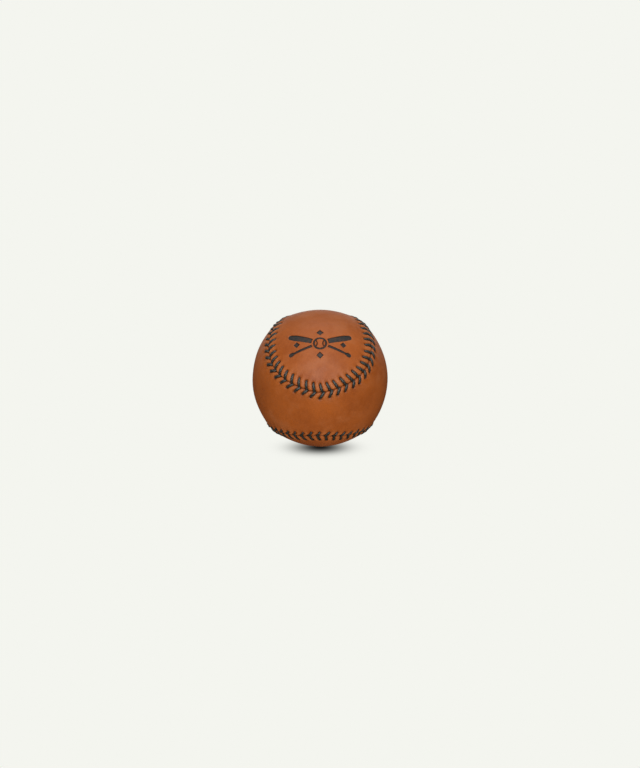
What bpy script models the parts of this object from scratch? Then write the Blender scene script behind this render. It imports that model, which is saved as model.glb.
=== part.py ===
"""A hand-stitched leather baseball with a wound core, built from the middle outwards.

Units are millimetres until MM turns them into Blender's metres. +Z is up and -Y faces the viewer.
The origin is the middle of the small flat that the ball rests on.
"""

import math

import bmesh
import bpy
import numpy as np
from mathutils import Matrix, Vector

MM = 0.001
GAP = 0.3  # between pieces that touch

# Outside of the ball.
LEATHER_RADIUS = 36.6  # middle of a lobe on the ball's side
LEATHER_THICKNESS = 1.4
SEAM_RISE = 1.05  # how far the seam stands above the middle of a lobe
RISE_SPREAD = 14.0  # how far from the seam that rise spreads
OVAL = 0.4  # how much farther from the centre the leather is at the ball's top and bottom
REST_FLAT_DEPTH = 0.4  # how far the leather is pressed in where the ball rests

# The seam swings twice between the poles of its own frame as it goes once round:
# latitude (90 degrees - WAIST_HALF_ANGLE) sin 2t, longitude t - LOBE_SWELL sin 4t.
WAIST_HALF_ANGLE = math.radians(21.5)  # half the width of each panel's waist
LOBE_SWELL = 0.42
SEAM_SAMPLES = 1920
FRONT_LOBE_ELEVATION = math.radians(69.8)  # the axis of panel A's front lobe, above the horizon

# Stitching: one thread with a needle on each end, crossing in the seam at every stitch.
STITCHES = 96
HOLE_SETBACK = 3.6  # from the seam line to the middle of a hole
HOLE_SIZE = 1.7
SEAM_GAP = 1.5  # between the two panels' edges
STITCH_LEAD = 1.7  # how far ahead of its holes a stitch dives into the seam
DIVE_OFFSET = 0.75  # panel A's leg dives that much before that point and panel B's that much after
THREAD_DIAMETER = 1.0
THREAD_CLEARANCE = 0.2

# Wound core, as outer radii.
CORK_RADIUS = 10.3
CUP_RADIUS = 14.3
RUBBER_RADIUS = 16.7
FIRST_WINDING_RADIUS = 30.2
SECOND_WINDING_RADIUS = 31.9
THIRD_WINDING_RADIUS = 33.8
FINISH_WINDING_RADIUS = 34.6
GASKET_THICKNESS = 1.0
YARN_TAIL_HOLE = 1.2  # radius of the hole where a winding's yarn end is tucked in
PILL_RINGS = 8
WINDING_RINGS = 10

PITCH = 1.0 / STITCHES  # one stitch, as a share of the seam's length


def clear_scene():
    for obj in list(bpy.data.objects):
        bpy.data.objects.remove(obj, do_unlink=True)


def material(name, colour, roughness):
    made = bpy.data.materials.new(name)
    made.use_nodes = True
    shader = made.node_tree.nodes["Principled BSDF"]
    shader.inputs["Base Color"].default_value = (*colour, 1.0)
    shader.inputs["Roughness"].default_value = roughness
    shader.inputs["Metallic"].default_value = 0.0
    made.diffuse_color = (*colour, 1.0)
    return made


def add_mesh(name, mesh_data, finish, parent):
    mesh = bpy.data.meshes.new(name)
    mesh_data.to_mesh(mesh)
    mesh_data.free()
    mesh.shade_smooth()
    mesh.set_sharp_from_angle(angle=math.radians(40))
    mesh.materials.append(finish)
    obj = bpy.data.objects.new(name, mesh)
    bpy.context.scene.collection.objects.link(obj)
    obj.parent = parent
    return obj


# ---------------------------------------------------------------- the seam on a unit sphere

def unit(vectors):
    return vectors / np.linalg.norm(vectors, axis=-1, keepdims=True)


def ball_axes():
    """Turns the seam's own frame so that panel A's front lobe faces up and forwards."""
    up, away = math.sin(FRONT_LOBE_ELEVATION), math.cos(FRONT_LOBE_ELEVATION)
    lobe, waist = Vector((0, -away, up)), Vector((0, up, away))
    side = waist.cross(lobe)
    half = math.sqrt(0.5)
    seam_x, seam_y = (lobe + side) * half, (side - lobe) * half
    return np.array(Matrix((seam_x, seam_y, waist)).transposed())


AXES = ball_axes()
WAIST, LOBE = AXES[:, 2], (AXES[:, 0] - AXES[:, 1]) * math.sqrt(0.5)


def seam_table():
    """Points along the whole seam, evenly spaced by length, with the direction across it towards panel A."""
    t = np.linspace(0, 2 * math.pi, 8 * SEAM_SAMPLES + 1)
    latitude = (math.pi / 2 - WAIST_HALF_ANGLE) * np.sin(2 * t)
    longitude = t - LOBE_SWELL * np.sin(4 * t)
    level = np.cos(latitude)
    in_seam_frame = (level * np.cos(longitude), level * np.sin(longitude), np.sin(latitude))
    points = np.stack(in_seam_frame, axis=1) @ AXES.T
    steps = np.linalg.norm(np.diff(points, axis=0), axis=1)
    length = np.concatenate([[0], np.cumsum(steps)])
    even = np.linspace(0, length[-1], SEAM_SAMPLES, endpoint=False)
    spaced = unit(np.stack([np.interp(even, length, points[:, i]) for i in range(3)], axis=1))
    along = np.roll(spaced, -1, axis=0) - np.roll(spaced, 1, axis=0)
    return spaced, unit(np.cross(spaced, along)), length[-1]


SEAM, ACROSS, SEAM_LENGTH = seam_table()


def beside_seam(share, distance):
    """The direction of a point that share of the way round the seam, and distance mm on panel A's side."""
    place = (share % 1.0) * SEAM_SAMPLES
    low, part = int(place), place - int(place)
    high = (low + 1) % SEAM_SAMPLES
    on_seam = SEAM[low % SEAM_SAMPLES] * (1 - part) + SEAM[high] * part
    towards = ACROSS[low % SEAM_SAMPLES] * (1 - part) + ACROSS[high] * part
    angle = distance / LEATHER_RADIUS
    found = unit(on_seam) * math.cos(angle) + unit(towards) * math.sin(angle)
    return unit(found)


def leather_radius(direction):
    """The outside of the leather there. Each bit of seam lifts it a little, SEAM_RISE in all at the seam."""
    squares = ((SEAM - direction) ** 2).sum(axis=1) * (LEATHER_RADIUS / RISE_SPREAD) ** 2
    bit = SEAM_LENGTH * LEATHER_RADIUS / SEAM_SAMPLES
    straight_seam_sum = RISE_SPREAD * 4 / 3
    rise = SEAM_RISE * float(((1 + squares) ** -2.5).sum()) * bit / straight_seam_sum
    return LEATHER_RADIUS + rise + OVAL * float(direction[2]) ** 2


def at_radius(direction, radius):
    return Vector(direction * radius * MM)


CENTRE_HEIGHT = leather_radius(np.array([0.0, 0.0, -1.0])) - REST_FLAT_DEPTH


# ---------------------------------------------------------------- leather panels

HOLE_NEAR_SIDE = HOLE_SETBACK - HOLE_SIZE / 2
HOLE_FAR_SIDE = HOLE_SETBACK + HOLE_SIZE / 2
BAND_WIDTH = 7.6  # the strip along the seam whose mesh follows the seam
SPINE_END = math.radians(118)  # from the panel's waist to the middle of each lobe
SPINE_SHARES = (0.3, 0.62, 1.0)  # rings between the band along the seam and the panel's middle line
SPINE_COLUMNS = STITCHES // 2


def hole_edges():
    """Where the holes begin and end along the seam, as shares of its length, hole after hole."""
    half = HOLE_SIZE / 2 / (SEAM_LENGTH * LEATHER_RADIUS)
    return [k * PITCH + end for k in range(STITCHES) for end in (-half, half)]


def towards_spine(direction, side, share):
    """Moves a direction that share of the way to the middle line that runs from lobe to lobe."""
    pole = WAIST * side
    other = LOBE if side > 0 else np.cross(WAIST, LOBE)
    station = math.atan2(direction @ other, direction @ pole)
    station = min(max(station, -SPINE_END), SPINE_END)
    target = pole * math.cos(station) + other * math.sin(station)
    angle = math.acos(min(1.0, float(direction @ target)))
    if angle < 1e-6:
        return target
    return (direction * math.sin((1 - share) * angle) + target * math.sin(share * angle)) / math.sin(angle)


def panel_rings(side):
    """Each ring is a list of (share along the seam, direction), from the panel's edge inwards."""
    lands = [(k + 0.5) * PITCH for k in range(STITCHES)]
    columns = [k / SPINE_COLUMNS for k in range(SPINE_COLUMNS)]
    strip = (
        (SEAM_GAP / 2, lands),
        (HOLE_NEAR_SIDE, hole_edges()),
        (HOLE_FAR_SIDE, hole_edges()),
        (BAND_WIDTH, lands),
    )
    rings = [[(s, beside_seam(s, side * distance)) for s in shares] for distance, shares in strip]
    for share in SPINE_SHARES:
        rings.append([(s, towards_spine(beside_seam(s, side * BAND_WIDTH), side, share)) for s in columns])
    return rings


def zip_rings(low, high):
    """Triangles between two closed rings of (share, vertex), which need not have the same count."""
    faces, i, j = [], 0, 0
    while i < len(low) or j < len(high):
        next_low = low[(i + 1) % len(low)][0] + (i + 1 >= len(low))
        next_high = high[(j + 1) % len(high)][0] + (j + 1 >= len(high))
        here = (low[i % len(low)][1], high[j % len(high)][1])
        if j >= len(high) or (i < len(low) and next_low <= next_high):
            faces.append((*here, low[(i + 1) % len(low)][1]))
            i += 1
        else:
            faces.append((*here, high[(j + 1) % len(high)][1]))
            j += 1
    return faces


def panel_skin(data, rings, depth):
    """The vertices of one face of the leather, as rings of (share along the seam, vertex), and its mesh."""
    skin = []
    for ring in rings:
        places = [at_radius(direction, leather_radius(direction) - depth) for _, direction in ring]
        skin.append([(s, data.verts.new(place)) for (s, _), place in zip(ring, places)])
    for index, (low, high) in enumerate(zip(skin, skin[1:])):
        faces = between_holes(low, high) if index == 1 else zip_rings(low, high)
        for face in faces:
            data.faces.new(face)
    return skin


def between_holes(near, far):
    """The leather between one stitch hole and the next, for the whole row."""
    count = len(near)
    pairs = [(i, (i + 1) % count) for i in range(1, count, 2)]
    return [(near[i][1], near[j][1], far[j][1], far[i][1]) for i, j in pairs]


def wall(data, outer, inner, loop):
    """Joins the two skins along a closed loop of (ring, place in the ring)."""
    for (ring_a, a), (ring_b, b) in zip(loop, loop[1:] + loop[:1]):
        data.faces.new((outer[ring_a][a][1], outer[ring_b][b][1], inner[ring_b][b][1], inner[ring_a][a][1]))


def leather_panel(name, side, finish, parent):
    """A figure-eight panel, with a row of stitch holes along its whole edge."""
    data = bmesh.new()
    rings = panel_rings(side)
    outer = panel_skin(data, rings, 0.0)
    inner = panel_skin(data, rings, LEATHER_THICKNESS)
    wall(data, outer, inner, [(0, i) for i in range(STITCHES)])
    for k in range(0, 2 * STITCHES, 2):
        wall(data, outer, inner, [(1, k), (1, k + 1), (2, k + 1), (2, k)])
    bmesh.ops.remove_doubles(data, verts=data.verts, dist=0.01 * MM)
    bmesh.ops.recalc_face_normals(data, faces=data.faces)
    return add_mesh(name, data, finish, parent)


def press_rest_flat(panel, parent):
    """Cuts the small flat that the ball rests on."""
    depth, half = 4.0, 12.0
    data = bmesh.new()
    bmesh.ops.create_cube(data, size=1.0)
    bmesh.ops.scale(data, verts=data.verts, vec=Vector((2 * half, 2 * half, depth)) * MM)
    bmesh.ops.translate(data, verts=data.verts, vec=Vector((0, 0, -CENTRE_HEIGHT - depth / 2)) * MM)
    cutter = add_mesh("rest_flat_cutter", data, panel.data.materials[0], parent)
    cutter.hide_render = True
    cutter.display_type = "WIRE"
    cut = panel.modifiers.new("rest_flat", "BOOLEAN")
    cut.operation = "DIFFERENCE"
    cut.solver = "EXACT"
    cut.object = cutter


# ---------------------------------------------------------------- the thread

def strand(first_side):
    """One needle's route: up a hole, over the leather, down the seam, under the other panel, and on."""
    over = THREAD_CLEARANCE + THREAD_DIAMETER / 2
    under = -over - LEATHER_THICKNESS
    seam_mm = SEAM_LENGTH * LEATHER_RADIUS
    route = []
    for k in range(STITCHES):
        side = first_side if k % 2 == 0 else -first_side
        hole = beside_seam(k * PITCH, side * HOLE_SETBACK)
        dive = beside_seam(k * PITCH + (STITCH_LEAD - side * DIVE_OFFSET) / seam_mm, 0)
        route += [(hole, under), (hole, over), (dive, over), (dive, under)]
    tail = beside_seam((STITCHES - 0.45) * PITCH, -side * 0.62 * HOLE_SETBACK)
    route.append((tail, under))
    return [at_radius(direction, leather_radius(direction) + height) for direction, height in route]


def seam_thread(name, finish, parent):
    """The whole thread: the two strands are its two ends, joined by a bar under the first pair of holes."""
    route = strand(1)[::-1] + strand(-1)
    curve = bpy.data.curves.new(name, "CURVE")
    curve.dimensions = "3D"
    curve.bevel_depth = THREAD_DIAMETER / 2 * MM
    curve.bevel_resolution = 0
    curve.use_fill_caps = True
    spline = curve.splines.new("POLY")
    spline.points.add(len(route) - 1)
    for point, place in zip(spline.points, route):
        point.co = (*place, 1.0)
    curve.materials.append(finish)
    obj = bpy.data.objects.new(name, curve)
    bpy.context.scene.collection.objects.link(obj)
    obj.parent = parent
    return obj


# ---------------------------------------------------------------- turned pieces of the core

def turned(name, profile, segments, finish, parent, upside_down=False):
    """Spins a profile of (radius, height) about Z. It starts and ends on the axis, or where it began."""
    data = bmesh.new()
    verts = [data.verts.new(Vector((radius, 0, height)) * MM) for radius, height in profile]
    edges = [data.edges.new(pair) for pair in zip(verts, verts[1:])]
    turn = {"cent": (0, 0, 0), "axis": (0, 0, 1), "angle": 2 * math.pi}
    bmesh.ops.spin(data, geom=verts + edges, steps=segments, use_merge=True, **turn)
    bmesh.ops.remove_doubles(data, verts=data.verts, dist=0.01 * MM)
    bmesh.ops.recalc_face_normals(data, faces=data.faces)
    if upside_down:
        bmesh.ops.rotate(data, verts=data.verts, cent=(0, 0, 0), matrix=Matrix.Rotation(math.pi, 3, "X"))
    return add_mesh(name, data, finish, parent)


def arc(radius, start, end, rings):
    """Points of a circle between two angles from the top, with one at each multiple of a ring's step."""
    step = math.pi / rings
    inside = [k * step for k in range(rings + 1) if start + 1e-6 < k * step < end - 1e-6]
    return [(radius * math.sin(a), radius * math.cos(a)) for a in [start, *inside, end]]


def ball(name, radius, rings, finish, parent):
    return turned(name, arc(radius, 0, math.pi, rings), 2 * rings, finish, parent)


def cup(name, inner, outer, parting, finish, parent, upside_down):
    """Half a hollow ball, ending at that height above the middle."""
    profile = arc(outer, 0, math.acos(parting / outer), PILL_RINGS)
    profile += arc(inner, 0, math.acos(parting / inner), PILL_RINGS)[::-1]
    return turned(name, profile, 2 * PILL_RINGS, finish, parent, upside_down)


def gasket(name, inner, outer, thickness, finish, parent):
    half = thickness / 2
    profile = [(inner, half), (outer, half), (outer, -half), (inner, -half), (inner, half)]
    return turned(name, profile, 2 * PILL_RINGS, finish, parent)


def winding(name, inner, outer, finish, parent, upside_down):
    """A hollow ball of wound yarn, with the small hole where the yarn's end is tucked in."""
    profile = arc(outer, math.asin(YARN_TAIL_HOLE / outer), math.pi, WINDING_RINGS)
    profile += arc(inner, math.asin(YARN_TAIL_HOLE / inner), math.pi, WINDING_RINGS)[::-1]
    profile.append(profile[0])
    return turned(name, profile, 2 * WINDING_RINGS, finish, parent, upside_down)


def build_pill(parent):
    """The cork and rubber centre."""
    cork = material("composition_cork", (0.42, 0.27, 0.15), 0.9)
    black_rubber = material("black_rubber", (0.025, 0.024, 0.023), 0.6)
    red_rubber = material("red_rubber", (0.45, 0.05, 0.035), 0.55)
    parting = GASKET_THICKNESS / 2 + GAP
    ball("cork_core", CORK_RADIUS, PILL_RINGS, cork, parent)
    gasket("cushion_gasket", CORK_RADIUS + GAP, CUP_RADIUS - GAP, GASKET_THICKNESS, red_rubber, parent)
    for place, flipped in (("upper", False), ("lower", True)):
        cup(f"cushion_cup_{place}", CORK_RADIUS + GAP, CUP_RADIUS, parting, black_rubber, parent, flipped)
        cup(f"rubber_shell_{place}", CUP_RADIUS + GAP, RUBBER_RADIUS, GAP / 2, red_rubber, parent, flipped)


def build_windings(parent):
    """Four wound layers, each started where the one under it ends."""
    grey_wool = material("grey_wool", (0.36, 0.35, 0.34), 0.95)
    white_wool = material("white_wool", (0.75, 0.73, 0.68), 0.95)
    cotton = material("finishing_cotton", (0.82, 0.8, 0.74), 0.9)
    facet_dip = math.cos(math.pi / WINDING_RINGS / math.sqrt(2))
    inner = (RUBBER_RADIUS + GAP) / facet_dip
    layers = (
        ("winding_first_grey_wool", FIRST_WINDING_RADIUS, grey_wool),
        ("winding_second_white_wool", SECOND_WINDING_RADIUS, white_wool),
        ("winding_third_grey_wool", THIRD_WINDING_RADIUS, grey_wool),
        ("winding_finish_cotton", FINISH_WINDING_RADIUS, cotton),
    )
    for index, (name, outer, finish) in enumerate(layers):
        winding(name, inner, outer, finish, parent, upside_down=index % 2 == 1)
        inner = outer + GAP


def build_cover(parent):
    """Two figure-eight panels and the thread that joins them."""
    leather = material("tan_leather", (0.38, 0.12, 0.04), 0.45)
    waxed_thread = material("waxed_thread", (0.035, 0.037, 0.035), 0.5)
    resting_panel = leather_panel("cover_panel_a", 1, leather, parent)
    leather_panel("cover_panel_b", -1, leather, parent)
    press_rest_flat(resting_panel, parent)
    seam_thread("seam_thread", waxed_thread, parent)


def main():
    clear_scene()
    centre = bpy.data.objects.new("ball_centre", None)
    bpy.context.scene.collection.objects.link(centre)
    centre.location = Vector((0, 0, CENTRE_HEIGHT)) * MM
    build_pill(centre)
    build_windings(centre)
    build_cover(centre)


main()
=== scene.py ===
"""The looks of a hand-stitched leather baseball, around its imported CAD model.

Lengths are millimetres until MM turns them into metres. The ball's outline and seam are the CAD model's.
"""

import math

import bmesh
import bpy
import numpy as np
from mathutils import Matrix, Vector


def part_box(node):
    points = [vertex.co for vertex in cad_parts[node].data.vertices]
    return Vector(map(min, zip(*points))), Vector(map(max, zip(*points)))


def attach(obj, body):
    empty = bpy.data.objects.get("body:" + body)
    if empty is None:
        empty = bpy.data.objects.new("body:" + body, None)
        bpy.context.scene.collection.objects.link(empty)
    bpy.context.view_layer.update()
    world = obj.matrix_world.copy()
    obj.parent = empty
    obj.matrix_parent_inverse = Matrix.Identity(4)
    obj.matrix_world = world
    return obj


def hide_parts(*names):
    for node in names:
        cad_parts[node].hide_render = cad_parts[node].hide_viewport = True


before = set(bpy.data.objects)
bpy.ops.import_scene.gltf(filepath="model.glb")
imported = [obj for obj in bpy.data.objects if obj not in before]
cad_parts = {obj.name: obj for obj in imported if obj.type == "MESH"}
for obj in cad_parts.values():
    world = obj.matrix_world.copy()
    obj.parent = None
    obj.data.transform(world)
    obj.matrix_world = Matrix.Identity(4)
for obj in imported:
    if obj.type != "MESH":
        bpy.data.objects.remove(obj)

MM = 0.001

# The ball, as the CAD model has it.
LEATHER_RADIUS = 36.6  # middle of a lobe on the ball's side
SEAM_RISE = 1.05  # how far the seam stands above the middle of a lobe
RISE_SPREAD = 14.0  # how far from the seam that rise spreads
OVAL = 0.4  # how much farther from the centre the leather is at the ball's top and bottom
FRONT_LOBE_ELEVATION = math.radians(69.8)  # the axis of panel A's front lobe, above the horizon
WAIST_HALF_ANGLE = math.radians(21.5)  # half the width of each panel's waist
LOBE_SWELL = 0.42
STITCHES = 96
PANEL_SIDES = {"a": 1, "b": -1}

# Stitches: a leg on each panel runs from its hole to where the two dive into the seam.
HOLE_SETBACK = {1: 4.1, -1: 3.0}  # from the seam, for each side
UNDERSIDE_DRAW = {1: 0.0, -1: 1.0}  # how much nearer to the seam the holes are right under the ball
UNDERSIDE_THINNING = 0.2  # how much thinner the tighter thread is there, as a share
STITCH_LEAD = 1.6  # how far ahead of its holes a stitch dives into the seam
DIVE_OFFSET = 0.35  # panel A's leg dives that much before that point and panel B's that much after
HAND_WANDER = 0.12  # how far a hand-made hole strays
HAND_PULL = (0.8, 1.2)  # how lightly and how hard a stitch presses the leather, as factors
THREAD_WIDTH = 1.5
THREAD_HEIGHT = 1.0
THREAD_SIDES = 18
THREAD_STEPS = 3  # rings for each stretch of a leg's route
THREAD_LAY = 5.0  # length of one full twist
THREAD_PLIES, PLY_DEPTH = 3, 0.2  # the depth of the grooves between plies, as a share of the radius
LEG_SHAPE = (  # share of the way to the dive, share of the setback, mm past that, height, girth
    (0.0, 1.0, 0.3, -1.1, 0.7),
    (0.02, 1.0, 0.1, -0.25, 0.72),
    (0.2, 0.82, 0.0, 0.02, 0.95),
    (0.5, 0.52, 0.0, 0.14, 1.12),
    (0.8, 0.24, 0.0, 0.0, 0.98),
    (1.0, 0.0, 0.08, -0.4, 0.8),
)
PAST_DIVE = (0.15, 0.25, -1.2)  # ahead of the dive, across the seam, and height
UNDER_CLEARANCE = 0.15  # between the leather's inner face and the thread below it
UNDER_SHARES = (0.45, 0.5)  # of the way to the next hole along the seam, and of that hole's setback
UNDER_GIRTH = 0.7

# The leather, and its relief round the stitches.
LEATHER_THICKNESS = 1.3  # 0.1 less than in the CAD model
GROOVE_DEPTH, GROOVE_WIDTH = 0.42, 0.72
HOLE_DEPTH, HOLE_WIDTH, HOLE_SHIFT = 0.55, 0.75, 0.2
POCKET_DEPTH, POCKET_WIDTH = 0.75, 0.8
PILLOW_HEIGHT, PILLOW_CLEARANCE = 0.3, 1.1
PILLOW_END = (-0.8, 1.3)  # the pillows fade out between these distances past the holes
EDGE_ROLL_DEPTH, EDGE_ROLL_WIDTH = 0.6, 0.5
TUCK_DEPTH, TUCK_WIDTH = 1.2, 0.8  # how far the leather's edge is tucked down into the seam
PUCKER_HEIGHT, PUCKER_BEYOND, PUCKER_WIDTH = 0.07, 1.3, 1.4
LUMP_HEIGHT, LUMP_COUNT = 0.05, 14
LUMP_FREQUENCY = (5, 13)  # radians of wave in one radius of the ball
FULLY_SUNK = 0.7  # where the leather is darkest, as painted shade with darker pressed leather

# The pressed mark on the front lobe.
MARK_ELEVATION = math.radians(42.7)
MARK_DEPTH = 0.38
PRESS_EDGE = (-0.22, 0.12)  # the pressed step, from inside the mark's outline to outside it
LIP_HEIGHT, LIP_BEYOND, LIP_WIDTH = 0.05, 0.45, 0.35
INK_EDGE = (-0.1, 0.12)  # the ink fades out there, from inside the outline to outside it
INK_MIDDLE = (0.2, 0.7)  # its tone changes between these distances inside the outline, from painted shade at the pressed edge to lighter worn ink
BAT_LENGTH = 33.0
BAT_TILT = math.radians(19)
BAT_SHARES = (0, 0.03, 0.06, 0.35, 0.72, 0.92, 1)  # from the knob to the thick end
BAT_RADII = (1.1, 1.1, 0.62, 0.72, 1.6, 1.8, 1.5)
MARK_BALL_RADIUS, MARK_BALL_LINE, MARK_BALL_CLEARANCE = 3.2, 1.0, 1.35
MARK_SEAM_RADIUS, MARK_SEAM_LINE, MARK_SEAM_MIDDLE = 2.9, 0.56, 4.4
BASE_ABOVE, BASE_ABOVE_SIZE = 6.9, 1.9
BASE_BESIDE, BASE_BESIDE_SIZE = 12.4, 1.7

# Mesh fineness.
SEAM_SAMPLES = 3840
SEAM_OVERSAMPLING = 8
RISE_SAMPLES = 480
COLUMNS_PER_STITCH = 14
EDGE_ROWS = (0.05, 0.14, 0.27, 0.43, 0.63, 0.85)
STRIP_STEP = 0.27
STRIP_END = 9.0
FAR = 99.0  # stands for any distance past the strip, or off the mark
LOBE_ROWS = 32
SPINE_END = math.radians(118)
INNER_COLUMNS = 192
INNER_ROWS = (1.0, 4.5, 9.0)
INNER_SHARES = (0.3, 0.6, 1.0)
INNER_SCALE = 0.9  # holds the inner face apart from the outer one while both are still unshaped
WELD_DISTANCE = 1e-5  # on the unit sphere
MARK_CUTS, MARK_MARGIN = 3, 0.5
POINTS_AT_ONCE = 8192

# The view and the studio.
CAMERA_ELEVATION = math.radians(13)
CAMERA_DISTANCE = 1000.0
SENSOR_HEIGHT = 36.0
FRAME_HEIGHT = 417.4  # what the picture's height spans at the ball's centre
AIM_BELOW_CENTRE = 3.2
CLIP_END = 100000.0
FLOOR_RADIUS, FLOOR_SIDES = 3000.0, 96
BACKGROUND = (0.905, 0.913, 0.863)
ROOM_GLOW = 0.89  # the room's light on the ball, as a share of the background's brightness
BACK_FLAG = 0.88  # how much darker the room is up behind the ball, in reflections
BACK_FLAG_EDGE = (0.1, 0.45)  # where that flag begins and where it is whole
FLOOR_GLOW, FLOOR_SHEEN = 0.78, 0.03  # the floor's light on the ball, and its brightness in reflections
FLOOR_WARMTH = (0.93, 0.8, 0.54)  # the colour of that light
SHADOW_SIZE = (15.7, 14.6)  # of the painted shadow pool on the floor, before the ball
SHADOW_AHEAD = 8.0  # from the point of contact forwards to that pool's middle
BACK_SHADOW_SIZE = (9.0, 10.5)
BACK_SHADOW_BEHIND = 6.5
SHADOW_FADE = 2.6  # how sharply the pools end
SHADOW_COLOUR = (0.012, 0.011, 0.010)
LIGHT_DISTANCE = 1600.0
LIGHTS = (  # name, azimuth and elevation in degrees, size, watts, whether it shows in reflections
    ("front_softbox", 3, 13, 1900.0, 20.5, True),
    ("upper_softbox", 3, 50, 1300.0, 4.5, True),
    ("rear_softbox", 0, 106, 1300.0, 4.4, True),
    ("back_softbox", 180, 10, 1300.0, 12.0, False),
)

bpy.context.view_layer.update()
CORK_LOW, CORK_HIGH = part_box("cork_core")
CENTRE = (Vector(CORK_LOW) + Vector(CORK_HIGH)) / 2
RANDOM = np.random.default_rng(96)


# ---------------------------------------------------------------- the ball's surface

def unit(vectors):
    return vectors / np.linalg.norm(vectors, axis=-1, keepdims=True)


def ball_axes():
    """Turns the seam's own frame so that panel A's front lobe faces up and forwards."""
    up, away = math.sin(FRONT_LOBE_ELEVATION), math.cos(FRONT_LOBE_ELEVATION)
    lobe, waist = np.array((0, -away, up)), np.array((0, up, away))
    side = np.cross(waist, lobe)
    return np.stack([lobe + side, side - lobe, waist * math.sqrt(2)], axis=1) * math.sqrt(0.5)


AXES = ball_axes()
WAIST, LOBE = AXES[:, 2], (AXES[:, 0] - AXES[:, 1]) * math.sqrt(0.5)


def seam_table(samples):
    """Evenly spaced points along the seam, with the directions along it and across it to panel A."""
    t = np.linspace(0, 2 * math.pi, SEAM_OVERSAMPLING * samples + 1)
    latitude = (math.pi / 2 - WAIST_HALF_ANGLE) * np.sin(2 * t)
    longitude = t - LOBE_SWELL * np.sin(4 * t)
    level = np.cos(latitude)
    in_seam_frame = (level * np.cos(longitude), level * np.sin(longitude), np.sin(latitude))
    points = np.stack(in_seam_frame, axis=1) @ AXES.T
    length = np.concatenate([[0], np.cumsum(np.linalg.norm(np.diff(points, axis=0), axis=1))])
    even = np.linspace(0, length[-1], samples, endpoint=False)
    spaced = unit(np.stack([np.interp(even, length, points[:, i]) for i in range(3)], axis=1))
    along = unit(np.roll(spaced, -1, axis=0) - np.roll(spaced, 1, axis=0))
    return spaced, along, unit(np.cross(spaced, along)), length[-1]


SEAM, ALONG, ACROSS, SEAM_LENGTH = seam_table(SEAM_SAMPLES)
SEAM_MM = SEAM_LENGTH * LEATHER_RADIUS
PITCH = SEAM_MM / STITCHES


def from_table(table, along_mm):
    """Reads a table of directions at places along the seam."""
    place = (along_mm / SEAM_MM % 1.0) * SEAM_SAMPLES
    low = np.floor(place).astype(int)
    part = (place - low)[..., None]
    return unit(table[low % SEAM_SAMPLES] * (1 - part) + table[(low + 1) % SEAM_SAMPLES] * part)


def beside_seam(along_mm, distance):
    """Directions of points on the ball, distance mm from the seam towards panel A."""
    angle = (distance / LEATHER_RADIUS)[..., None]
    return unit(from_table(SEAM, along_mm) * np.cos(angle) + from_table(ACROSS, along_mm) * np.sin(angle))


def leather_radius(directions):
    """The outside of the leather. Each bit of seam lifts it a little, SEAM_RISE in all at the seam.

    A bit's lift falls off as (1 + x * x) ** -2.5, which adds up to 4 / 3 all along a straight seam.
    """
    bits = SEAM[:: SEAM_SAMPLES // RISE_SAMPLES]
    share = SEAM_MM / RISE_SAMPLES / (RISE_SPREAD * 4 / 3)
    rise = np.empty(len(directions))
    for start in range(0, len(directions), POINTS_AT_ONCE):
        part = slice(start, start + POINTS_AT_ONCE)
        squares = 2 - 2 * directions[part] @ bits.T
        rise[part] = ((1 + squares * (LEATHER_RADIUS / RISE_SPREAD) ** 2) ** -2.5).sum(axis=1)
    return LEATHER_RADIUS + SEAM_RISE * rise * share + OVAL * directions[:, 2] ** 2


def smoothstep(value, low, high):
    part = np.clip((value - low) / (high - low), 0, 1)
    return part * part * (3 - 2 * part)


LUMP_WAVES = unit(RANDOM.normal(size=(LUMP_COUNT, 3))) * RANDOM.uniform(*LUMP_FREQUENCY, (LUMP_COUNT, 1))
LUMP_PHASES = RANDOM.uniform(0, 2 * math.pi, LUMP_COUNT)


def lumps(directions):
    """The slight unevenness of a hand-made ball: a few broad waves in random directions."""
    return LUMP_HEIGHT / 2 * np.cos(directions @ LUMP_WAVES.T + LUMP_PHASES).sum(axis=1)


# ---------------------------------------------------------------- where the stitches are

def underside(along_mm):
    """From 0 where the seam is level with the ball's middle or above, to -1 right under the ball."""
    return np.minimum(from_table(SEAM, along_mm)[..., 2], 0)


def setback_at(side, along_mm):
    return HOLE_SETBACK[side] + UNDERSIDE_DRAW[side] * underside(along_mm)


def stitch_layout():
    """For each side: where each hole is (along, from the seam) and where its leg dives into the seam."""
    layout = {}
    for side in HOLE_SETBACK:
        wander = RANDOM.normal(0, HAND_WANDER, (STITCHES, 3))
        place = np.arange(STITCHES) * PITCH
        layout[side] = {
            "hole": place + wander[:, 0],
            "setback": setback_at(side, place) + wander[:, 1],
            "dive": place + STITCH_LEAD - side * DIVE_OFFSET + wander[:, 2],
            "pull": RANDOM.uniform(*HAND_PULL, STITCHES),
            "girth": 1 + UNDERSIDE_THINNING * underside(place),
        }
    return layout


LAYOUT = stitch_layout()


def wrapped(difference):
    """A difference along the seam, taken the short way round."""
    return (difference + SEAM_MM / 2) % SEAM_MM - SEAM_MM / 2


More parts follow.
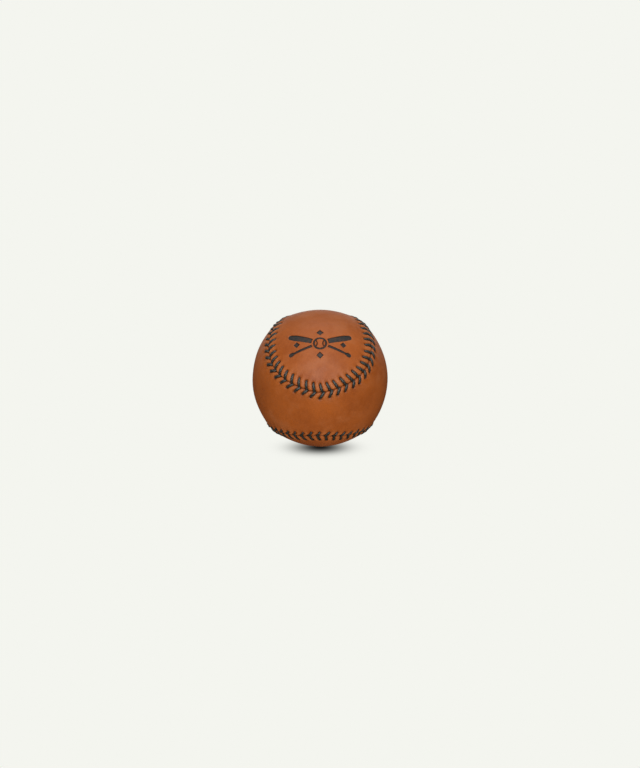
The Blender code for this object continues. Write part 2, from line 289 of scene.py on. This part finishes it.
def stitch_relief(side, along_mm, distance):
    """How the stitches press and pucker the leather at points on that side of the seam."""
    here = LAYOUT[side]
    nearest = np.floor(along_mm / PITCH).astype(int)
    sunk, covered = np.zeros_like(distance), np.zeros_like(distance)
    for step in (-1, 0, 1):
        k = (nearest + step) % STITCHES
        hole, setback = wrapped(along_mm - here["hole"][k]), here["setback"][k]
        lean = wrapped(here["dive"][k] - here["hole"][k])
        run = np.stack([lean, -setback], axis=-1)
        reach = np.stack([hole, distance - setback], axis=-1)
        part = np.clip((reach * run).sum(-1) / (run * run).sum(-1), 0, 1)
        off = np.linalg.norm(reach - part[..., None] * run, axis=-1)
        pull = here["pull"][k]
        sunk += pull * GROOVE_DEPTH * np.exp(-(off / GROOVE_WIDTH) ** 2)
        at_hole = (hole ** 2 + (distance - setback - HOLE_SHIFT) ** 2) / HOLE_WIDTH ** 2
        sunk += pull * HOLE_DEPTH * np.exp(-at_hole)
        at_dive = ((hole - lean) ** 2 + distance ** 2) / POCKET_WIDTH ** 2
        sunk += pull * POCKET_DEPTH * np.exp(-at_dive)
        covered += np.exp(-(off / PILLOW_CLEARANCE) ** 2)
    past_holes = distance - setback_at(side, along_mm)
    inside = 1 - smoothstep(past_holes, *PILLOW_END)
    pillow = PILLOW_HEIGHT * (1 - np.clip(covered, 0, 1)) * inside
    beyond = np.exp(-((past_holes - PUCKER_BEYOND) / PUCKER_WIDTH) ** 2)
    pucker = -PUCKER_HEIGHT * np.cos(2 * math.pi * along_mm / PITCH) * beyond
    roll = EDGE_ROLL_DEPTH * np.exp(-(distance / EDGE_ROLL_WIDTH) ** 1.5)
    return pillow + pucker - roll - sunk


# ---------------------------------------------------------------- the pressed mark

def mark_axes():
    facing = np.array((0, -math.cos(MARK_ELEVATION), math.sin(MARK_ELEVATION)))
    return np.array((1.0, 0, 0)), np.cross(facing, (1, 0, 0)), facing


def mark_place(directions):
    """Places on the ball as (across, up) on the flat drawing of the mark."""
    right, up, facing = mark_axes()
    x = LEATHER_RADIUS * np.arcsin(np.clip(directions @ right, -1, 1))
    y = LEATHER_RADIUS * np.arcsin(np.clip(directions @ up, -1, 1))
    return np.where(directions @ facing > 0, x, FAR), y


def bat(x, y, tilt):
    """Distance outside a bat that crosses the middle of the mark, thick end up."""
    along = np.clip(x * math.cos(tilt) + y * math.sin(tilt), -BAT_LENGTH / 2, BAT_LENGTH / 2)
    share = along * math.copysign(1, math.sin(tilt)) / BAT_LENGTH + 0.5
    radius = np.interp(share, BAT_SHARES, BAT_RADII)
    return np.hypot(x - along * math.cos(tilt), y - along * math.sin(tilt)) - radius


def lozenge(x, y, radius):
    return (np.abs(x) + np.abs(y) - radius) * math.sqrt(0.5)


def mark_distance(x, y):
    """Distance outside the mark: crossed bats behind a ball, with four bases round it."""
    bats = np.minimum(bat(x, y, BAT_TILT), bat(x, y, -BAT_TILT))
    from_middle = np.hypot(x, y)
    shapes = [np.maximum(bats, MARK_BALL_RADIUS + MARK_BALL_CLEARANCE - from_middle)]
    shapes.append(np.abs(from_middle - MARK_BALL_RADIUS) - MARK_BALL_LINE / 2)
    from_arc = np.hypot(np.abs(x) - MARK_SEAM_MIDDLE, y) - MARK_SEAM_RADIUS
    shapes.append(np.maximum(np.abs(from_arc) - MARK_SEAM_LINE / 2, from_middle - MARK_BALL_RADIUS))
    shapes += [lozenge(x, y - end * BASE_ABOVE, BASE_ABOVE_SIZE) for end in (-1, 1)]
    shapes += [lozenge(x - end * BASE_BESIDE, y, BASE_BESIDE_SIZE) for end in (-1, 1)]
    return np.minimum.reduce(shapes)


# ---------------------------------------------------------------- leather panels

def towards_spine(directions, side, share):
    """Moves directions that share of the way to the middle line that runs from lobe to lobe."""
    pole = WAIST * side
    other = LOBE if side > 0 else np.cross(WAIST, LOBE)
    station = np.clip(np.arctan2(directions @ other, directions @ pole), -SPINE_END, SPINE_END)[:, None]
    target = pole * np.cos(station) + other * np.sin(station)
    angle = np.arccos(np.clip((directions * target).sum(-1, keepdims=True), -1, 1))
    return unit(directions * np.sin((1 - share) * angle) + target * np.sin(share * angle))


def panel_rings(side, rows, columns, inner_shares, inner_columns):
    """Rings from the panel's edge inwards: each point's place along the seam, distance and direction."""
    rings = []
    along = np.arange(columns) * SEAM_MM / columns
    for distance in rows:
        distances = np.full(columns, distance)
        rings.append((along, distances, beside_seam(along, side * distances)))
    along = np.arange(inner_columns) * SEAM_MM / inner_columns
    band = beside_seam(along, np.full(inner_columns, side * rows[-1]))
    for share in inner_shares:
        rings.append((along, np.full(inner_columns, FAR), towards_spine(band, side, share)))
    return rings


def zip_rings(low_along, low_start, high_along, high_start):
    """Faces between two closed rings: quads where they have the same count, and triangles where not.

    Each triangle steps on along the ring whose next point comes first on the seam.
    """
    low_count, high_count = len(low_along), len(high_along)
    faces, i, j = [], 0, 0
    if low_count == high_count:
        for i in range(low_count):
            after = (i + 1) % low_count
            faces.append((low_start + i, low_start + after, high_start + after, high_start + i))
        return faces
    while i < low_count or j < high_count:
        next_low = low_along[i + 1] if i + 1 < low_count else SEAM_MM * (1 + (i >= low_count))
        next_high = high_along[j + 1] if j + 1 < high_count else SEAM_MM * (1 + (j >= high_count))
        here = (low_start + i % low_count, high_start + j % high_count)
        if next_low <= next_high:
            faces.append((here[0], low_start + (i + 1) % low_count, here[1]))
            i += 1
        else:
            faces.append((here[0], high_start + (j + 1) % high_count, here[1]))
            j += 1
    return faces


def skin(rings, start):
    """The stacked directions, places and faces of one face of the leather."""
    faces, first = [], start
    for (low, _, _), (high, _, _) in zip(rings, rings[1:]):
        faces += zip_rings(low, first, high, first + len(low))
        first += len(low)
    along, distance, directions = (np.concatenate([ring[i] for ring in rings]) for i in range(3))
    return along, distance, directions, faces


def is_outer(unshaped):
    """Whether unshaped points are on the leather's outer face."""
    return np.linalg.norm(unshaped, axis=1) > (1 + INNER_SCALE) / 2


def refine_mark(data):
    """Cuts the faces under the pressed mark finer, so that its edges are crisp."""
    centres = np.array([face.calc_center_median() for face in data.faces])
    chosen = is_outer(centres) & (mark_distance(*mark_place(unit(centres))) < MARK_MARGIN)
    data.edges.index_update()
    edges = {edge for face, cut in zip(data.faces, chosen) if cut for edge in face.edges}
    edges = sorted(edges, key=lambda edge: edge.index)
    bmesh.ops.subdivide_edges(data, edges=edges, cuts=MARK_CUTS, use_grid_fill=True)


def panel_surface(side):
    """Unshaped points, heights and faces: a fine outer face, and a plain inner one with a tucked edge."""
    rows = (*EDGE_ROWS, *np.arange(EDGE_ROWS[-1] + STRIP_STEP, STRIP_END, STRIP_STEP))
    lobe_shares = np.arange(1, LOBE_ROWS + 1) / LOBE_ROWS
    columns = STITCHES * COLUMNS_PER_STITCH
    outer = panel_rings(side, rows, columns, lobe_shares, columns // 2)
    inner = [outer[0], *panel_rings(side, INNER_ROWS, INNER_COLUMNS, INNER_SHARES, INNER_COLUMNS // 2)]
    along, distance, directions, faces = skin(outer, 0)
    heights = np.where(distance < STRIP_END, stitch_relief(side, along, distance), 0.0)
    inner_start = len(directions)
    _, inner_distance, inner_directions, inner_faces = skin(inner, inner_start)
    tuck = TUCK_DEPTH * np.exp(-(inner_distance / TUCK_WIDTH) ** 2)
    edge = zip_rings(outer[0][0], 0, inner[0][0], inner_start)
    faces += [face[::-1] for face in inner_faces + edge]
    directions = np.concatenate([directions, inner_directions * INNER_SCALE])
    return directions, np.concatenate([heights, -LEATHER_THICKNESS - tuck]), faces


def leather_panel(name, node, side, finish):
    unshaped, heights, faces = panel_surface(side)
    mesh = bpy.data.meshes.new(name)
    mesh.from_pydata(unshaped.tolist(), [], faces)
    mesh.attributes.new("height", "FLOAT", "POINT").data.foreach_set("value", heights)
    data = bmesh.new()
    data.from_mesh(mesh)
    bmesh.ops.remove_doubles(data, verts=data.verts, dist=WELD_DISTANCE)
    if side > 0:
        refine_mark(data)
    bmesh.ops.recalc_face_normals(data, faces=data.faces)
    data.to_mesh(mesh)
    data.free()
    shape_leather(mesh)
    mesh.materials.append(finish)
    return add_piece(name, mesh, node)


def shape_leather(mesh):
    """Moves a panel from the unit sphere to its real surface, and notes where it is sunk, raised or inked:
    painted shade with darker pressed leather, painted highlights with paler stretched leather, and print.

    The ink's note goes from 0 outside to 0.5 at the edge of a stroke and 1 in the middle of a broad one.
    """
    count = len(mesh.vertices)
    unshaped = np.empty(3 * count)
    mesh.vertices.foreach_get("co", unshaped)
    unshaped = unshaped.reshape(-1, 3)
    directions = unit(unshaped)
    heights = np.empty(count)
    mesh.attributes["height"].data.foreach_get("value", heights)
    from_mark = mark_distance(*mark_place(directions))
    pressed = MARK_DEPTH * (1 - smoothstep(from_mark, *PRESS_EDGE))
    lip = LIP_HEIGHT * np.exp(-((from_mark - LIP_BEYOND) / LIP_WIDTH) ** 2)
    radii = leather_radius(directions) + heights
    radii += is_outer(unshaped) * (lumps(directions) + lip - pressed)
    places = directions * radii[:, None] * MM + np.array(CENTRE)
    places[:, 2] = np.maximum(places[:, 2], 0.0)  # pressed flat where the ball rests
    mesh.vertices.foreach_set("co", places.ravel())
    # sunk: painted shade in the holes, grooves and seam line, together with darker pressed leather
    sunk = np.clip(-heights / FULLY_SUNK, 0, 1)
    # raised: painted highlight on the pillows, together with paler stretched leather
    raised = np.clip(heights / PILLOW_HEIGHT, 0, 1)
    inked = (1 - smoothstep(from_mark, *INK_EDGE) + smoothstep(-from_mark, *INK_MIDDLE)) / 2
    tone_and_painted_light = np.stack([sunk, raised, inked], axis=1)
    mesh.attributes.new("tone_and_painted_light", "FLOAT_VECTOR", "POINT").data.foreach_set("vector", tone_and_painted_light.ravel())
    mesh.attributes.remove(mesh.attributes["height"])
    mesh.update()


def add_piece(name, mesh, node):
    mesh.shade_smooth()
    obj = bpy.data.objects.new(name, mesh)
    bpy.context.scene.collection.objects.link(obj)
    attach(obj, "root")
    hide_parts(node)
    return obj


# ---------------------------------------------------------------- the thread

def leg_route(side, k):
    """A leg's way from its hole, over the leather, into the seam and under it to its next hole.

    Each point is (along, distance to panel A, height over the leather, girth).
    """
    here, there = LAYOUT[side], LAYOUT[-side]
    hole, setback, dive, girth = (here[key][k] for key in ("hole", "setback", "dive", "girth"))
    route = [
        (hole + way * (dive - hole), side * (share * setback + past), height, size * girth)
        for way, share, past, height, size in LEG_SHAPE
    ]
    ahead, across, height = PAST_DIVE
    route.append((dive + ahead, -side * across, height, UNDER_GIRTH * girth))
    follow = (k + 1) % STITCHES
    next_hole = there["hole"][follow] + (SEAM_MM if follow == 0 else 0)
    way, share = UNDER_SHARES
    under = -LEATHER_THICKNESS - THREAD_HEIGHT / 2 - UNDER_CLEARANCE
    beside = -side * share * there["setback"][follow]
    route.append((dive + way * (next_hole - dive), beside, under, UNDER_GIRTH * girth))
    return route


def strand_route(first_side):
    route = []
    for k in range(STITCHES):
        route += leg_route(first_side if k % 2 == 0 else -first_side, k)
    return route[:-1]


def catmull_rom(points, steps):
    """A smooth path through points, with that many steps from one to the next."""
    padded = np.concatenate([2 * points[:1] - points[1:2], points, 2 * points[-1:] - points[-2:-1]])
    a, b, c, d = padded[:-3], padded[1:-2], padded[2:-1], padded[3:]
    t = (np.arange(steps) / steps)[None, :, None]
    a, b, c, d = (p[:, None, :] for p in (a, b, c, d))
    curve = 2 * b + (c - a) * t + (2 * a - 5 * b + 4 * c - d) * t ** 2 + (3 * b - a - 3 * c + d) * t ** 3
    return np.concatenate([curve.reshape(-1, points.shape[1]) / 2, points[-1:]])


def thread_line():
    """The thread's middle line, its girth, and the directions of its width and its thickness."""
    first, second = np.array(strand_route(1)), np.array(strand_route(-1))
    route = catmull_rom(np.concatenate([first[::-1], second]), THREAD_STEPS)
    directions = beside_seam(route[:, 0], route[:, 1])
    path = directions * (leather_radius(directions) + route[:, 2])[:, None]
    tangent = unit(np.gradient(path, axis=0))
    wide = from_table(ALONG, route[:, 0])
    wide = unit(wide - tangent * (wide * tangent).sum(-1, keepdims=True))
    return path, route[:, 3:], wide, np.cross(tangent, wide)


def seam_thread(finish):
    """One waxed thread of twisted plies, with both its ends sewn round the whole seam."""
    path, girth, wide, thick = thread_line()
    run = np.concatenate([[0], np.cumsum(np.linalg.norm(np.diff(path, axis=0), axis=1))])
    around = np.arange(THREAD_SIDES) / THREAD_SIDES * 2 * math.pi
    twist = around[None] - (run / THREAD_LAY * 2 * math.pi)[:, None]
    crest = np.abs(np.cos(twist * THREAD_PLIES / 2))  # 1 on a ply, 0 in the groove between two
    ply = (1 - PLY_DEPTH * (1 - crest) ** 1.5) * girth
    ring_wide = np.cos(around)[None] * ply * THREAD_WIDTH / 2
    ring_thick = np.sin(around)[None] * ply * THREAD_HEIGHT / 2
    rings = path[:, None] + wide[:, None] * ring_wide[..., None] + thick[:, None] * ring_thick[..., None]
    verts = rings.reshape(-1, 3) * MM + np.array(CENTRE)
    count, n = len(path), THREAD_SIDES
    faces = []
    for ring in range(count - 1):
        low, high = ring * n, (ring + 1) * n
        faces += [(low + i, low + (i + 1) % n, high + (i + 1) % n, high + i) for i in range(n)]
    faces += [tuple(range(n))[::-1], tuple(range((count - 1) * n, count * n))]
    mesh = bpy.data.meshes.new("waxed_seam_thread")
    mesh.from_pydata(verts.tolist(), [], faces)
    mesh.attributes.new("ply", "FLOAT", "POINT").data.foreach_set("value", crest.ravel())
    data = bmesh.new()
    data.from_mesh(mesh)
    bmesh.ops.recalc_face_normals(data, faces=data.faces)
    data.to_mesh(mesh)
    data.free()
    mesh.materials.append(finish)
    return add_piece("waxed_seam_thread", mesh, "seam_thread")


# ---------------------------------------------------------------- materials

TAN_DARK, TAN_LIGHT = (0.265, 0.059, 0.006), (0.335, 0.08, 0.009)
TAN_BLUSH, TAN_MOTTLE, TAN_PORE = (0.36, 0.108, 0.032), (0.36, 0.092, 0.017), (0.15, 0.032, 0.006)
# the raised colour is a painted highlight on the pillows, with paler stretched leather
# the sunk colour is painted shade in the holes, grooves and seam line, with darker pressed leather
TAN_STRETCHED_AND_HIGHLIGHT, TAN_PRESSED_AND_SHADE = (0.5, 0.17, 0.055), (0.05, 0.013, 0.005)
# ink colours: the edge one holds painted shade of the pressed step
INK_AT_EDGE_SHADED, INK_IN_MIDDLE = (0.008, 0.008, 0.008), (0.02, 0.0205, 0.0205)
# the groove colour is painted shade between the plies
FIBRE_DARK, FIBRE_LIGHT, FIBRE_GROOVE_SHADE = (0.017, 0.018, 0.016), (0.046, 0.049, 0.045), (0.006, 0.006, 0.006)


def new_material(name, roughness=0.5):
    made = bpy.data.materials.new(name)
    made.use_nodes = True
    tree = made.node_tree
    shader = tree.nodes["Principled BSDF"]
    shader.inputs["Roughness"].default_value = roughness
    return made, tree, shader


def add_node(tree, kind, inputs=None, **settings):
    """Adds a node. An input is a value or a socket to link from."""
    made = tree.nodes.new(kind)
    for key, value in settings.items():
        setattr(made, key, value)
    for key, value in (inputs or {}).items():
        if isinstance(value, bpy.types.NodeSocket):
            tree.links.new(value, made.inputs[key])
        else:
            made.inputs[key].default_value = value
    return made


def object_place(tree):
    return add_node(tree, "ShaderNodeTexCoord").outputs["Object"]


def noise(tree, place, scale, detail=3.0, roughness=0.55):
    inputs = {"Vector": place, "Scale": scale, "Detail": detail, "Roughness": roughness}
    return add_node(tree, "ShaderNodeTexNoise", inputs).outputs["Fac"]


def math_node(tree, operation, first, second=0.0):
    return add_node(tree, "ShaderNodeMath", {0: first, 1: second}, operation=operation).outputs[0]


def spread(tree, value, low, high, to_low=0.0, to_high=1.0):
    """Maps a value from one range to another, smoothly and within its ends."""
    inputs = {"Value": value, "From Min": low, "From Max": high, "To Min": to_low, "To Max": to_high}
    return add_node(tree, "ShaderNodeMapRange", inputs, interpolation_type="SMOOTHSTEP").outputs["Result"]


def mix_colour(tree, share, first, second):
    made = add_node(tree, "ShaderNodeMix", data_type="RGBA")
    for socket, value in (("Factor_Float", share), ("A_Color", first), ("B_Color", second)):
        target = next(s for s in made.inputs if s.identifier == socket)
        if isinstance(value, bpy.types.NodeSocket):
            tree.links.new(value, target)
        else:
            target.default_value = (*value, 1.0) if isinstance(value, tuple) else value
    return next(s for s in made.outputs if s.identifier == "Result_Color")


def bump(tree, height, distance_mm, under=None):
    inputs = {"Height": height, "Distance": distance_mm * MM, "Strength": 1.0}
    if under is not None:
        inputs["Normal"] = under
    return add_node(tree, "ShaderNodeBump", inputs).outputs["Normal"]


def leather_material():
    made, tree, shader = new_material("tan_leather_satin")
    place = object_place(tree)
    # notes for sunk, raised and inked leather: painted shade, painted highlight and print
    tone_and_painted_light = add_node(tree, "ShaderNodeAttribute", attribute_name="tone_and_painted_light")
    split = add_node(tree, "ShaderNodeSeparateXYZ", {"Vector": tone_and_painted_light.outputs["Vector"]})
    sunk, raised, inked = split.outputs
    clouds = spread(tree, noise(tree, place, 55.0, 4.0), 0.3, 0.7)
    colour = mix_colour(tree, clouds, TAN_DARK, TAN_LIGHT)
    blush = spread(tree, noise(tree, place, 80.0, 5.0, 0.6), 0.48, 0.7)
    colour = mix_colour(tree, math_node(tree, "MULTIPLY", blush, 0.6), colour, TAN_BLUSH)
    mottle = spread(tree, noise(tree, place, 420.0, 5.0, 0.65), 0.35, 0.68)
    colour = mix_colour(tree, math_node(tree, "MULTIPLY", mottle, 0.35), colour, TAN_MOTTLE)
    pores = add_node(tree, "ShaderNodeTexVoronoi", {"Vector": place, "Scale": 1500.0}, feature="F1")
    pore = spread(tree, pores.outputs["Distance"], 0.05, 0.35, 1.0, 0.0)
    colour = mix_colour(tree, math_node(tree, "MULTIPLY", pore, 0.3), colour, TAN_PORE)
    # painted highlight on the raised pillows, with paler stretched leather
    colour = mix_colour(tree, math_node(tree, "MULTIPLY", raised, 0.35), colour, TAN_STRETCHED_AND_HIGHLIGHT)
    # painted shade where the leather is sunk, with darker pressed leather
    colour = mix_colour(tree, math_node(tree, "MULTIPLY", sunk, 0.75), colour, TAN_PRESSED_AND_SHADE)
    # print: dark ink, darker at a stroke's edge as painted shade of the pressed step, lighter in a broad
    # stroke's middle as worn ink
    ink = mix_colour(tree, spread(tree, inked, 0.5, 1.0), INK_AT_EDGE_SHADED, INK_IN_MIDDLE)
    ink_wear = spread(tree, noise(tree, place, 700.0, 4.0), 0.3, 0.62, 0.9, 1.0)
    inked = spread(tree, inked, 0.0, 0.5)
    colour = mix_colour(tree, math_node(tree, "MULTIPLY", inked, ink_wear), colour, ink)
    tree.links.new(colour, shader.inputs["Base Color"])
    shader.inputs["Specular IOR Level"].default_value = 0.3
    rough = spread(tree, noise(tree, place, 260.0, 4.0), 0.3, 0.7, 0.40, 0.52)
    tree.links.new(rough, shader.inputs["Roughness"])
    normal = bump(tree, noise(tree, place, 160.0, 3.0), 0.12)
    normal = bump(tree, noise(tree, place, 900.0, 5.0, 0.6), 0.05, under=normal)
    normal = bump(tree, pores.outputs["Distance"], 0.03, under=normal)
    tree.links.new(normal, shader.inputs["Normal"])
    return made


def thread_material():
    made, tree, shader = new_material("waxed_thread_black_green", 0.42)
    place = object_place(tree)
    ply = add_node(tree, "ShaderNodeAttribute", attribute_name="ply").outputs["Fac"]
    fibre = noise(tree, place, 2500.0, 4.0, 0.7)
    colour = mix_colour(tree, spread(tree, fibre, 0.3, 0.7), FIBRE_DARK, FIBRE_LIGHT)
    # painted shade in the grooves between plies
    colour = mix_colour(tree, spread(tree, ply, 0.1, 0.75), FIBRE_GROOVE_SHADE, colour)
    tree.links.new(colour, shader.inputs["Base Color"])
    tree.links.new(bump(tree, fibre, 0.06), shader.inputs["Normal"])
    return made


def yarn_material(name, dark, light, scale):
    """Wound yarn: crossing bands of strands."""
    made, tree, shader = new_material(name, 0.9)
    place = object_place(tree)
    inputs = {"Vector": place, "Scale": scale, "Distortion": 6.0, "Detail": 2.0}
    strands = add_node(tree, "ShaderNodeTexWave", inputs, wave_type="RINGS", rings_direction="SPHERICAL")
    fluff = noise(tree, place, 1800.0, 5.0, 0.7)
    colour = mix_colour(tree, strands.outputs["Fac"], dark, light)
    colour = mix_colour(tree, math_node(tree, "MULTIPLY", fluff, 0.4), colour, dark)
    tree.links.new(colour, shader.inputs["Base Color"])
    normal = bump(tree, strands.outputs["Fac"], 0.3)
    tree.links.new(bump(tree, fluff, 0.1, under=normal), shader.inputs["Normal"])
    return made


def rubber_material(name, dark, light):
    made, tree, shader = new_material(name, 0.6)
    place = object_place(tree)
    cloud = spread(tree, noise(tree, place, 120.0, 4.0), 0.3, 0.7)
    tree.links.new(mix_colour(tree, cloud, dark, light), shader.inputs["Base Color"])
    tree.links.new(bump(tree, noise(tree, place, 1600.0, 3.0), 0.04), shader.inputs["Normal"])
    return made


def cork_material():
    made, tree, shader = new_material("composition_cork_grains", 0.85)
    place = object_place(tree)
    grains = add_node(tree, "ShaderNodeTexVoronoi", {"Vector": place, "Scale": 700.0}, feature="F1")
    grain_tone = add_node(tree, "ShaderNodeSeparateXYZ", {"Vector": grains.outputs["Color"]}).outputs["X"]
    colour = mix_colour(tree, grain_tone, (0.22, 0.12, 0.06), (0.55, 0.36, 0.2))
    tree.links.new(colour, shader.inputs["Base Color"])
    tree.links.new(bump(tree, grains.outputs["Distance"], 0.2), shader.inputs["Normal"])
    return made


def finish_core():
    """Gives the CAD pieces inside the ball their own surfaces."""
    grey = yarn_material("grey_wool_yarn", (0.16, 0.155, 0.15), (0.42, 0.41, 0.4), 500.0)
    white = yarn_material("white_wool_yarn", (0.45, 0.43, 0.39), (0.8, 0.78, 0.73), 500.0)
    cotton = yarn_material("finishing_cotton_yarn", (0.55, 0.52, 0.45), (0.86, 0.84, 0.78), 900.0)
    black = rubber_material("moulded_black_rubber", (0.02, 0.019, 0.018), (0.035, 0.034, 0.033))
    red = rubber_material("moulded_red_rubber", (0.36, 0.035, 0.025), (0.5, 0.06, 0.042))
    looks = {
        "winding_first_grey_wool": grey,
        "winding_second_white_wool": white,
        "winding_third_grey_wool": grey,
        "winding_finish_cotton": cotton,
        "cushion_cup_upper": black,
        "cushion_cup_lower": black,
        "cushion_gasket": red,
        "rubber_shell_upper": red,
        "rubber_shell_lower": red,
        "cork_core": cork_material(),
    }
    for node, finish in looks.items():
        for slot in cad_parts[node].material_slots:
            slot.material = finish


# ---------------------------------------------------------------- floor, light and camera

def ray_is(tree, kind):
    """1 for rays of that kind: Camera (seen straight), Diffuse (light on a matt surface) or Glossy."""
    return add_node(tree, "ShaderNodeLightPath").outputs[f"Is {kind} Ray"]


def painted_shadow_pool(tree, middle_y, size):
    """How dark a soft painted shadow pool on the floor is: 1 in its middle, fading away past its size."""
    half = (size[0] * MM, size[1] * MM, 1.0)
    place = add_node(tree, "ShaderNodeVectorMath", {0: object_place(tree), 1: (0, -middle_y * MM, 0)})
    scaled = add_node(tree, "ShaderNodeVectorMath", {0: place.outputs[0], 1: half}, operation="DIVIDE")
    share = add_node(tree, "ShaderNodeVectorMath", {0: scaled.outputs[0]}, operation="LENGTH")
    steep = math_node(tree, "POWER", share.outputs["Value"], SHADOW_FADE)
    return math_node(tree, "EXPONENT", math_node(tree, "MULTIPLY", steep, -1.0))


def floor_material():
    """A pale floor that glows evenly, with soft shadows painted where the ball stands, seen only by camera
    rays.
    """
    made = bpy.data.materials.new("pale_floor")
    made.use_nodes = True
    tree = made.node_tree
    before = painted_shadow_pool(tree, -SHADOW_AHEAD, SHADOW_SIZE)
    behind = painted_shadow_pool(tree, BACK_SHADOW_BEHIND, BACK_SHADOW_SIZE)
    seen, lighting = ray_is(tree, "Camera"), ray_is(tree, "Diffuse")
    # painted shadow: the pools darken the floor only for camera rays
    dark = math_node(tree, "MULTIPLY", math_node(tree, "MAXIMUM", before, behind), seen)
    pale = mix_colour(tree, lighting, BACKGROUND, FLOOR_WARMTH)
    colour = mix_colour(tree, dark, pale, SHADOW_COLOUR)
    strength = math_node(tree, "MULTIPLY", lighting, FLOOR_GLOW - FLOOR_SHEEN)
    strength = math_node(tree, "MAXIMUM", seen, math_node(tree, "ADD", strength, FLOOR_SHEEN))
    glow = add_node(tree, "ShaderNodeEmission", {"Color": colour, "Strength": strength})
    tree.links.new(glow.outputs[0], tree.nodes["Material Output"].inputs["Surface"])
    return made


def add_floor():
    data = bmesh.new()
    bmesh.ops.create_circle(data, cap_ends=True, segments=FLOOR_SIDES, radius=FLOOR_RADIUS * MM)
    mesh = bpy.data.meshes.new("floor")
    data.to_mesh(mesh)
    data.free()
    mesh.materials.append(floor_material())
    floor = bpy.data.objects.new("floor", mesh)
    bpy.context.scene.collection.objects.link(floor)


def add_light(name, azimuth, elevation, size, power, reflects):
    """A round soft light that faces the ball. Azimuth 0 is before it, and elevations past 90 are behind."""
    lamp = bpy.data.lights.new(name, "AREA")
    lamp.shape = "DISK"
    lamp.size = size * MM
    lamp.energy = power
    obj = bpy.data.objects.new(name, lamp)
    obj.visible_glossy = reflects
    az, el = math.radians(azimuth), math.radians(elevation)
    away = Vector((math.sin(az) * math.cos(el), -math.cos(az) * math.cos(el), math.sin(el)))
    obj.location = CENTRE + away * LIGHT_DISTANCE * MM
    obj.rotation_euler = away.to_track_quat("Z", "Y").to_euler()
    bpy.context.scene.collection.objects.link(obj)


def add_world():
    """A pale room with dark flags to the left and the right, which shade the ball's sides.

    One more flag, up behind the ball, shows only in reflections, so that the ball's top edge stays dark.
    """
    world = bpy.data.worlds.new("studio")
    bpy.context.scene.world = world
    world.use_nodes = True
    tree = world.node_tree
    shader = tree.nodes["Background"]
    shader.inputs["Color"].default_value = (*BACKGROUND, 1.0)
    direction = add_node(tree, "ShaderNodeTexCoord").outputs["Generated"]
    sideways, behind, up = add_node(tree, "ShaderNodeSeparateXYZ", {"Vector": direction}).outputs
    glow = math_node(tree, "SUBTRACT", 1.0, math_node(tree, "MULTIPLY", sideways, sideways))
    glow = math_node(tree, "MULTIPLY", glow, ROOM_GLOW)
    flag = spread(tree, math_node(tree, "MULTIPLY", behind, up), *BACK_FLAG_EDGE, 0.0, BACK_FLAG)
    flag = math_node(tree, "MULTIPLY", flag, ray_is(tree, "Glossy"))
    glow = math_node(tree, "MULTIPLY", glow, math_node(tree, "SUBTRACT", 1.0, flag))
    glow = math_node(tree, "MAXIMUM", ray_is(tree, "Camera"), glow)
    tree.links.new(glow, shader.inputs["Strength"])


def add_camera():
    camera = bpy.data.cameras.new("camera")
    camera.sensor_fit = "VERTICAL"
    camera.sensor_height = SENSOR_HEIGHT
    camera.lens = SENSOR_HEIGHT * CAMERA_DISTANCE / FRAME_HEIGHT
    camera.clip_end = CLIP_END * MM
    obj = bpy.data.objects.new("camera", camera)
    toward = Vector((0, -math.cos(CAMERA_ELEVATION), math.sin(CAMERA_ELEVATION)))
    down = Vector((0, -math.sin(CAMERA_ELEVATION), -math.cos(CAMERA_ELEVATION)))
    obj.location = CENTRE + (toward * CAMERA_DISTANCE + down * AIM_BELOW_CENTRE) * MM
    obj.rotation_euler = toward.to_track_quat("Z", "Y").to_euler()
    bpy.context.scene.collection.objects.link(obj)
    bpy.context.scene.camera = obj


def main():
    leather = leather_material()
    for letter, side in PANEL_SIDES.items():
        panel = leather_panel(f"leather_panel_{letter}", f"cover_panel_{letter}", side, leather)
    seam_thread(thread_material())
    finish_core()
    add_floor()
    add_world()
    for light in LIGHTS:
        add_light(*light)
    add_camera()
    bpy.context.scene.view_settings.view_transform = "Standard"


main()
